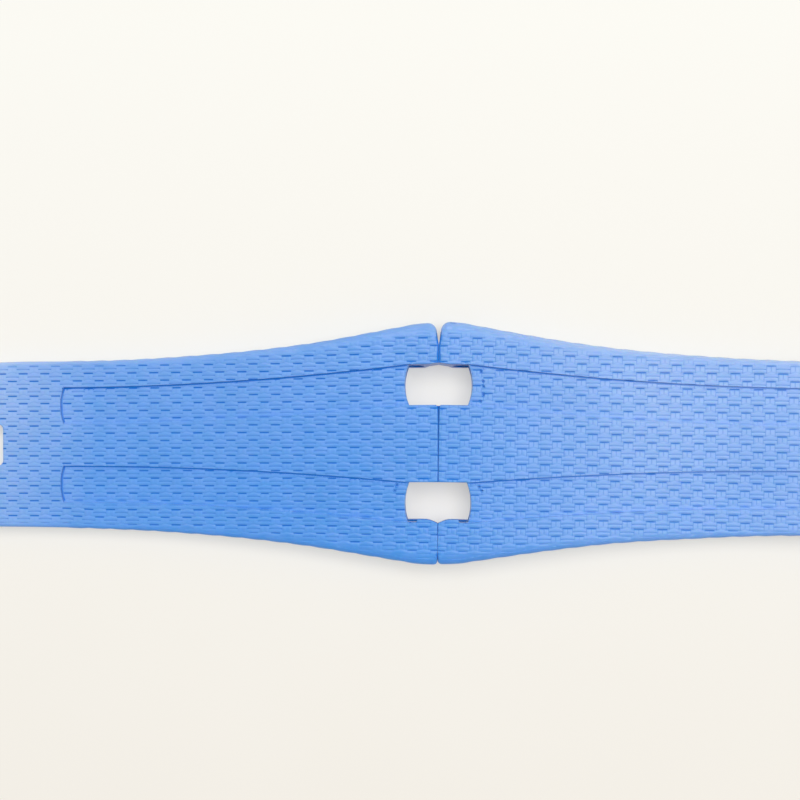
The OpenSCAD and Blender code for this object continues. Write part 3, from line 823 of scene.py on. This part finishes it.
def weave_shade(t):
    """Painted shade in the weave: its crevices, the shadow under each float's edge, the upper threads and
    faint arcs on the risers, from the place in the pattern.
    """
    row = t.attribute("weave_row")
    k = t.math("FLOOR", row, 0)
    q = t.math("SUBTRACT", row, k)
    shift = t.product(t.math("PINGPONG", k, 1), 0.5)
    from_float = t.math("PINGPONG", t.math("SUBTRACT", t.attribute("weave_along"), shift), 0.5)
    from_riser = t.math("SUBTRACT", 0.5, from_float)
    pitch, height = WEAVE_PITCH / MM, ROW_PITCH / MM
    riser = RISER_HALF / WEAVE_PITCH
    on_riser = t.band(from_riser, riser, 0.03)
    # The painted shade of the risers' sides and seams grows towards +x, where light comes from the side, and
    # the dashes' painted shade eases there
    upright = t.ramp(t.axes["X"], -0.006, 0.006, 0.2, 1.0)
    dashes = t.ramp(t.axes["X"], -0.006, 0.012, 1.0, 0.72)
    over = t.product(t.band(from_riser, riser - 0.015, 0.05),
                     t.band(t.math("SUBTRACT", 1, q), 0.04 / height, 0.12 / height), dashes)
    under = t.product(t.band(from_float, riser - 0.015, 0.05),
                      t.band(q, 0.01 / height, 0.08 / height), dashes)
    groove = t.product(t.band(from_float, FLOAT_HALF / WEAVE_PITCH - 0.02, 0.04),
                       t.band(t.math("SUBTRACT", q, GROOVE_AT), 0.02 / height, 0.07 / height),
                       t.ramp(from_float, 0.15, 0.28, 0.45, 0.7))
    seam = t.product(t.band(from_riser, 0.01 / pitch, 0.09 / pitch), t.ramp(q, 0.15, 0.35), upright, 0.42)
    side = t.product(t.band(t.math("SUBTRACT", from_riser, riser), 0.01 / pitch, 0.09 / pitch), upright, 0.42)
    arch = t.product(t.math("POWER", t.math("DIVIDE", from_riser, riser), 2), TUCK / ROW_PITCH)
    arch = t.math("SUBTRACT", t.math("ADD", q, arch), TUCK / ROW_PITCH)
    arch = t.product(t.band(arch, 0.02 / height, 0.10 / height), on_riser, 0.2)
    upper = t.product(t.ramp(q, GROOVE_AT, GROOVE_AT + 0.1), t.math("SUBTRACT", 1, on_riser), 0.08)
    shade = t.math("MAXIMUM", over, under, groove, seam, side, arch, upper)
    return t.product(shade, t.attribute("woven"))


def rubber(name):
    """Matt moulded rubber: mottled tone, a fine mould grain, painted shade in its crevices and a faint pale
    painted sheen.
    """
    t = Material(name)
    colour = t.mix(t.mottle(260, 4, rough=0.6), toned(BLUE, 0.97), toned(BLUE, 1.03))
    colour = t.mix(t.mottle(520, 2, 0.0, 0.12), colour, srgb(150, 170, 240))
    # Painted highlight and shade on the shoulders, and painted shade in creases, nicks, notch walls and the
    # joint
    rim, recessed = t.attribute("rim"), t.attribute("crevice_shade")
    shade = t.math("MAXIMUM", weave_shade(t), t.ramp(rim, 0, -1, 0, RIM_SHADE))
    colour = t.mix(shade, colour, CREVICE_SHADE)
    colour = t.mix(recessed, colour, RECESS_SHADE)
    # Painted sheen of reflected light: white mixed in towards the ends and +y and on the +v shoulder, less in
    # painted shade
    painted_sheen = t.math("ADD", *(t.ramp(t.axes[axis], start, end, 0, share) for axis, start, end, share in SHEEN_RAMPS))
    painted_sheen = t.product(painted_sheen, t.ramp(t.axes["Y"], -0.012, 0.008, 0.72, 1.1))
    from_joint = t.math("ABSOLUTE", t.math("ADD", t.axes["X"], 0.012), 0)
    rim_sheen = t.product(t.ramp(rim, 0, 1), t.ramp(from_joint, 0.005, 0.038, *RIM_SHEEN))
    painted_sheen = t.product(t.math("ADD", painted_sheen, rim_sheen), t.ramp(t.noise(60, 3), 0.2, 0.8, 0.7, 1.3),
                     t.ramp(t.math("MAXIMUM", shade, recessed), 0, 0.9, 1, 0))
    grain = t.bump(t.noise(9000, 2, 0.6), 0.02 * MM, 0.10)
    return t.surface({
        "Base Color": t.mix(painted_sheen, colour, (1, 1, 1, 1)),
        "Roughness": t.mottle(900, 3, 0.28, 0.34),
        "Specular IOR Level": 0.3,
        "Subsurface Weight": 0.3,
        "Subsurface Radius": (0.1, 0.35, 1.0),
        "Subsurface Scale": 0.5 * MM,
        "Sheen Weight": 0.04,
        "Sheen Roughness": 0.5,
        "Normal": t.bump(t.noise(2200, 3), 0.05 * MM, 0.07, grain),
    })


def steel(name, grain, tone=(0.44, 0.445, 0.46, 1), rough=0.26):
    """Brushed stainless steel, with the brushing drawn out along the axis whose grain is small."""
    t = Material(name)
    brush = t.noise(1.0, 4, 0.65, t.scaled(grain))
    smear = t.ramp(t.noise(140, 4, 0.55), 0.4, 0.7, 0, 0.08)
    return t.surface({
        "Base Color": t.mix(t.ramp(brush, 0.3, 0.7), toned(tone, 0.93), tone),
        "Metallic": 1.0,
        "Roughness": t.math("ADD", t.ramp(brush, 0.3, 0.7, rough - 0.06, rough + 0.06), smear),
        "Normal": t.bump(brush, 0.01 * MM, 0.25),
    })


BLUE = srgb(75, 150, 228)
# Painted shade for the weave's crevices and the shadows under its floats
CREVICE_SHADE = srgb(0, 111, 208)
RECESS_SHADE = srgb(0, 120, 216)  # painted shade for creases, nicks and walls, which lie in their own shade
RIM_SHEEN = (0.06, 0.19)  # painted highlight on the shoulder on the +v side, which faces the light, and painted shade on the other
RIM_SHADE = 0.2
# Ramps of the painted sheen, a pale haze of reflected light, over the strap: axis, start, end, share of white
SHEEN_RAMPS = [
    ("X", 0.002, 0.03, 0.14), ("X", -0.006, -0.036, 0.016), ("X", -0.038, -0.051, 0.18),
    ("Y", -0.003, 0.010, 0.04), ("Y", -0.013, -0.004, 0.012),
]
strap_rubber = rubber("strap_rubber")
keeper_rubber = rubber("keeper_rubber")
buckle_steel = steel("buckle_steel", (400, 9000, 9000))
sleeve_steel = steel("sleeve_steel", (9000, 400, 9000), rough=0.32)
bar_steel = steel("bar_steel", (9000, 500, 9000), rough=0.24)
spring_steel = steel("spring_steel", (6000, 6000, 6000), (0.38, 0.38, 0.4, 1), 0.35)


def dress(obj, material, body, slot, *nodes):
    obj.data.materials.clear()
    obj.data.materials.append(material)
    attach(obj, body)
    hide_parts(*nodes)


def place(obj, matrix, degrees=35):
    """Puts a finished piece into the row frame, smooth with its real edges sharp."""
    obj.data.transform(matrix)
    if matrix.determinant() < 0:
        obj.data.flip_normals()
    smooth_edges(obj, degrees)
    return obj


for half, body in ((LONG, "long_half"), (SHORT, "short_half")):
    obj = place(strap(half), half.matrix(), 50)
    obj.name = half.node + "_rubber"
    dress(obj, strap_rubber, body, "strap_rubber", half.node)


INSIDE, OUTSIDE = NOTCH_V - NOTCH_W / 2 - SLEEVE_SINK, NOTCH_V + NOTCH_W / 2 + SLEEVE_SINK
FAR = flare_half(PIN_IN) - SLEEVE_COVER
SLEEVES = (("left", OUTSIDE, FAR), ("middle", -INSIDE, INSIDE), ("right", -FAR, -OUTSIDE))
for half, body, prefix in ((LONG, "long_half", "long"), (SHORT, "short_half", "short")):
    for side, v0, v1 in SLEEVES:
        name, b = f"{prefix}_sleeve_{side}", 0.07 * MM
        end = [(PIN_R, b), (PIN_R + b, 0), (SLEEVE_R - b, 0), (SLEEVE_R, b)]
        profile = [(r, v0 + v) for r, v in end] + [(r, v1 - v) for r, v in end[::-1]]
        obj = solid(name + "_tube", *turned(profile, 72, PIN_IN, PIN_H, True))
        dress(place(obj, half.matrix()), sleeve_steel, body, "sleeve_steel", name)


def keeper(u0, name, body):
    """Moulded loop: a wall section with rounded edges and a crowned face, carried round the loop."""
    inner_w, inner_h = STRAP_W + 2 * KEEPER_GAP, 2 * STRAP_T + KEEPER_GAP + KEEPER_ROOM
    inner_r = KEEPER_R - KEEPER_WALL
    path = []
    side, low, high = inner_w / 2 - inner_r, KEEPER_WALL + inner_r, KEEPER_WALL + inner_h - inner_r
    corners = [(side, high), (-side, high), (-side, low), (side, low)]
    for i, (cv, cz) in enumerate(corners):
        for a in np.radians(np.linspace(90 * i, 90 * i + 90, 10)):
            path.append((cv, cz, math.cos(a), math.sin(a)))
        nv, nz = corners[(i + 1) % 4]
        turn = math.radians(90 * i + 90)
        for f in np.linspace(0, 1, 26)[1:-1]:
            path.append((lerp(cv, nv, f), lerp(cz, nz, f), math.cos(turn), math.sin(turn)))
    edge = 0.3 * MM
    wall = np.concatenate([
        arc((KEEPER_LEN - edge, KEEPER_WALL - edge), edge, 0, 90, 5),
        [(KEEPER_LEN * f, KEEPER_WALL) for f in np.linspace(0.9, 0.1, 9)],
        arc((edge, KEEPER_WALL - edge), edge, 90, 180, 5),
        arc((edge / 2, edge / 2), edge / 2, 180, 270, 4),
        arc((KEEPER_LEN - edge / 2, edge / 2), edge / 2, 270, 360, 4),
    ])
    crown = 0.10 * MM * np.abs(2 * wall[:, 0] / KEEPER_LEN - 1) ** 2.5 * (wall[:, 1] > KEEPER_WALL / 2)
    reach = inner_r + wall[:, 1] - crown
    rings = [np.column_stack([u0 + wall[:, 0], cv + reach * nv, cz + reach * nz]) for cv, cz, nv, nz in path]
    obj = loft(name + "_loop", rings, closed=True)
    dress(place(obj, SHORT.matrix(), 60), keeper_rubber, body, "keeper_rubber", name)


keeper(FIXED_KEEPER_U, "fixed_keeper", "short_half")
keeper(FREE_KEEPER_U, "free_keeper", "keeper_loop")


def curve_z(x):
    """Height of the buckle's wrist curve above the bar, at a distance x in front of it."""
    ahead = np.maximum(x - CURVE_FOOT, 0)
    return np.sqrt(FRAME_CURVE_R**2 - ahead**2) - FRAME_CURVE_R


def rounded(angle, power):
    c, s = np.cos(angle), np.sin(angle)
    return np.sign(c) * np.abs(c) ** power, np.sign(s) * np.abs(s) ** power


def buckle_frame():
    """Forged frame: one soft-edged bar carried round a U, with ears at the spring bar."""
    inner_y, outer_y = FRAME_INNER_W / 2, FRAME_INNER_W / 2 + ARM_W
    window = FRAME_LEN - FRONT_BAR_W
    inner_r = 1 * MM
    ear = [-EAR_R * math.cos(math.radians(a)) for a in (5, 14, 24, 34, 45, 56, 67, 78, 90, 102, 114, 126)]
    arm = np.linspace(ear[-1], window - inner_r, 14)[1:]
    outer_scale = (FRAME_LEN - FRAME_CORNER_R - ear[-1]) / (window - inner_r - ear[-1])
    stations = [((x, inner_y), (x, outer_y)) for x in ear]
    stations += [((x, inner_y), (ear[-1] + (x - ear[-1]) * outer_scale, outer_y)) for x in arm]
    top, outer_top = inner_y - inner_r, outer_y - FRAME_CORNER_R
    stations += zip(arc((window - inner_r, top), inner_r, 90, 0, 12)[1:],
                    arc((FRAME_LEN - FRAME_CORNER_R, outer_top), FRAME_CORNER_R, 90, 0, 12)[1:])
    for f in np.linspace(1, 0, 14)[1:]:
        stations.append(((window, top * f), (FRAME_LEN, outer_top * f)))
    stations += [((a[0], -a[1]), (b[0], -b[1])) for a, b in reversed(stations[:-1])]
    side, height = rounded(np.linspace(0, 2 * math.pi, 41)[:-1], 0.45)
    rings = []
    for a, b in stations:
        a, b = np.array(a), np.array(b)
        plan = (a + b) / 2 + np.outer(side, (b - a) / 2)
        x = plan[:, 0]
        ear_h = np.sqrt(np.clip(EAR_R**2 - x**2, 0, None))
        half_t = np.where(x < 0, ear_h, np.maximum(ear_h, FRAME_T / 2))
        rings.append(np.column_stack([plan, curve_z(x) + half_t * height]))
    obj = loft("buckle_frame_bar", rings)
    cut(obj, cylinder(PLUNGER_R + FIT_GAP, TIP_OUT + 0.2 * MM, 40))
    reach, bevel = TANG_W / 2 + TANG_GAP, 0.15 * MM
    seat = [(-reach, bevel), (bevel - reach, 0), (reach - bevel, 0), (reach, bevel),
            (reach + 0.1 * MM, PAST), (-reach - 0.1 * MM, PAST)]
    rings = [[(x, y, curve_z(x) + FRAME_T / 2 - TANG_SEAT + z) for y, z in seat]
             for x in np.linspace(window - 0.6 * MM, FRAME_LEN + 0.6 * MM, 16)]
    cut(obj, loft_parts(rings))
    dress(place(obj, BAR, 40), buckle_steel, "buckle", "buckle_steel", "buckle_frame")


def buckle_tang():
    """Tang rolled from strip: a loop about the bar, left open by a fine seam, and a curved arm."""
    loop_r, loop_t = (BARREL_R + FIT_GAP + EAR_R) / 2, EAR_R - BARREL_R - FIT_GAP
    seat = FRAME_T / 2 - TANG_SEAT + TANG_GAP
    tip = FRAME_LEN + TANG_OVERHANG
    tip_r = 1.4 * MM
    path = []
    for a in np.radians(np.linspace(-28, -262, 44)):
        c, s = math.cos(a), math.sin(a)
        path.append((loop_r * c, loop_r * s, c, s, loop_t, TANG_W / 2))
    arm_z = seat + TANG_T / 2
    xs = np.concatenate([np.linspace(0.9 * MM, tip - tip_r, 18),
                         tip - tip_r + tip_r * np.sin(np.radians([15, 30, 45, 58, 70, 80, 88]))])
    for x in xs:
        lean = max(x - CURVE_FOOT, 0) / FRAME_CURVE_R
        rise = smooth(-1 * MM, 2.2 * MM, x)
        z = lerp(loop_r, arm_z, rise) + curve_z(x) * (1 + arm_z / FRAME_CURVE_R)
        into_tip = np.clip((x - tip + tip_r) / tip_r, 0, 1)
        half_w = TANG_W / 2 - tip_r * (1 - math.sqrt(max(1 - into_tip**2, 0)))
        thick = lerp(loop_t, TANG_T, rise) * (1 - 0.25 * into_tip**3)
        path.append((x, z, lean, math.sqrt(1 - lean**2), thick, half_w))
    side, height = rounded(np.linspace(0, 2 * math.pi, 29)[:-1], 0.38)
    rings = [np.column_stack([x + nx * t / 2 * height, w * side, z + nz * t / 2 * height])
             for x, z, nx, nz, t, w in path]
    obj = loft("buckle_tang_strip", rings)
    dress(place(obj, BAR, 40), buckle_steel, "tang", "buckle_steel", "buckle_tang")


buckle_frame()
buckle_tang()


def spring_bar():
    """Barrel with turned-in ends and two spring-loaded tips."""
    bore, lip, half_len, b = BARREL_R - BARREL_WALL, PLUNGER_R + FIT_GAP, BARREL_LEN / 2, 0.12 * MM
    end = [(bore, HEAD_OUT), (lip, HEAD_OUT), (lip, half_len - 0.05 * MM), (lip + 0.05 * MM, half_len),
           (BARREL_R - b, half_len), (BARREL_R, half_len - b)]
    profile = end + [(r, -v) for r, v in end[::-1]]
    obj = solid("bar_barrel_tube", *turned(profile, closed=True))
    dress(place(obj, BAR), bar_steel, "short_half", "bar_steel", "bar_barrel")
    head = BARREL_R - BARREL_WALL - FIT_GAP
    foot, rim = HEAD_OUT - PLUNGER_HEAD_LEN, HEAD_OUT - 0.02 * MM
    profile = [(0.02 * MM, foot), (head - 0.06 * MM, foot), (head, foot + 0.06 * MM), (head, rim - 0.04 * MM),
               (head - 0.04 * MM, rim), (PLUNGER_R, rim), (PLUNGER_R, TIP_OUT - 0.16 * MM),
               (PLUNGER_R - 0.05 * MM, TIP_OUT - 0.06 * MM), (PLUNGER_R - 0.16 * MM, TIP_OUT),
               (0.02 * MM, TIP_OUT)]
    for side, name in ((1, "left"), (-1, "right")):
        obj = solid(f"bar_tip_{name}", *turned(profile, 48))
        mirror = Matrix.Diagonal((1, side, 1, 1))
        dress(place(obj, BAR @ mirror), bar_steel, f"plunger_{name}", "bar_steel", f"bar_plunger_{name}")


spring_bar()
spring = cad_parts["bar_spring"]
spring.data.materials.clear()
spring.data.materials.append(spring_steel)


# Camera, light and floor

CAMERA_AT = (2.87 * MM, 0.0, 150 * MM - PIN_H)
CAMERA_TILT = math.radians(4.583)
CAMERA_ROLL = math.radians(-0.19)
IMAGE_PX = 800
FOCAL_PX = 1251.22
CENTRE_PX = (337.95, 443.5)
SENSOR = 36.0

camera_data = bpy.data.cameras.new("camera")
camera = linked("camera", camera_data)
camera.matrix_world = (
    Matrix.Translation(CAMERA_AT)
    @ Matrix.Rotation(CAMERA_ROLL, 4, "Z")
    @ Matrix.Rotation(CAMERA_TILT, 4, "Y")
)
camera_data.sensor_width = SENSOR
camera_data.lens = FOCAL_PX / IMAGE_PX * SENSOR
camera_data.shift_x = (IMAGE_PX / 2 - CENTRE_PX[0]) / IMAGE_PX
camera_data.shift_y = (CENTRE_PX[1] - IMAGE_PX / 2) / IMAGE_PX
camera_data.clip_start = 0.01
bpy.context.scene.camera = camera

# Square area lights: name, place, the point that they face, side in m, power in W, colour
LIGHTS = [
    ("window", (-0.04, 0.32, 0.72), (0, 0, 0), 0.22, 1.48, (1.0, 0.99, 0.97)),
    ("softbox", (0.25, 0.07, 0.80), (0.02, 0, 0), 0.42, 3.3, (1.0, 0.99, 0.98)),
    ("side_panel", (-0.36, 0.10, 0.75), (-0.02, 0, 0), 0.24, 0.6, (1.0, 0.99, 0.98)),
]
for name, at, aim, size, power, colour in LIGHTS:
    data = bpy.data.lights.new(name, "AREA")
    data.shape, data.size, data.energy, data.color = "SQUARE", size, power, colour
    lamp = linked(name, data)
    lamp.location = at
    lamp.rotation_euler = (Vector(aim) - Vector(at)).to_track_quat("-Z", "Y").to_euler()

WORLD_LIGHT = 0.34
PAPER = srgb(249, 248, 242)
bpy.context.scene.world = bpy.data.worlds.new("studio")
studio = Nodes(bpy.context.scene.world)
light = studio.tree.nodes["Background"]
studio.feed(light, {"Color": (1.0, 0.99, 0.975, 1), "Strength": WORLD_LIGHT})
backdrop = studio.add("ShaderNodeBackground", {"Color": PAPER})
studio.show_paper(studio.seen_rays(), light, backdrop, "World Output")

FLOOR_HALF = 4
FLOOR_Z = -PIN_H - 0.01 * MM
FLOOR_GLOW = 0.5  # share of the paper's own tone near the object, where shadows stay
SHADOWS_FADE = (0.15, 0.5)  # and they fade out between these distances from the origin


def paper_floor():
    """White paper that keeps a share of its shadows round the object, and none far from it."""
    t = Material("paper")
    far = t.add("ShaderNodeVectorMath", [t.place], operation="LENGTH").outputs["Value"]
    # Painted shade: the paper's tone darkens towards -y, where less of the light falls
    tone = t.mix(t.ramp(t.axes["Y"], -0.045, 0.05), srgb(242, 238, 230), PAPER)
    tone = t.mix(t.ramp(far, *SHADOWS_FADE), tone, PAPER)
    t.surface({
        "Base Color": t.mix(t.mottle(30, 3, 0, 0.25), tone, srgb(250, 248, 243)),
        "Roughness": 0.9,
        "Specular IOR Level": 0.1,
    })
    share = t.product(t.seen_rays(), t.ramp(far, *SHADOWS_FADE, FLOOR_GLOW, 1))
    t.show_paper(share, t.shader, t.add("ShaderNodeEmission", {"Color": tone}), "Material Output")
    return t.owner


corners = [(x * FLOOR_HALF, y * FLOOR_HALF, FLOOR_Z) for x, y in ((-1, -1), (1, -1), (1, 1), (-1, 1))]
floor = solid("floor", corners, [(0, 1, 2, 3)])
floor.data.materials.append(paper_floor())

bpy.context.scene.view_settings.view_transform = "Standard"

bpy.context.view_layer.update()
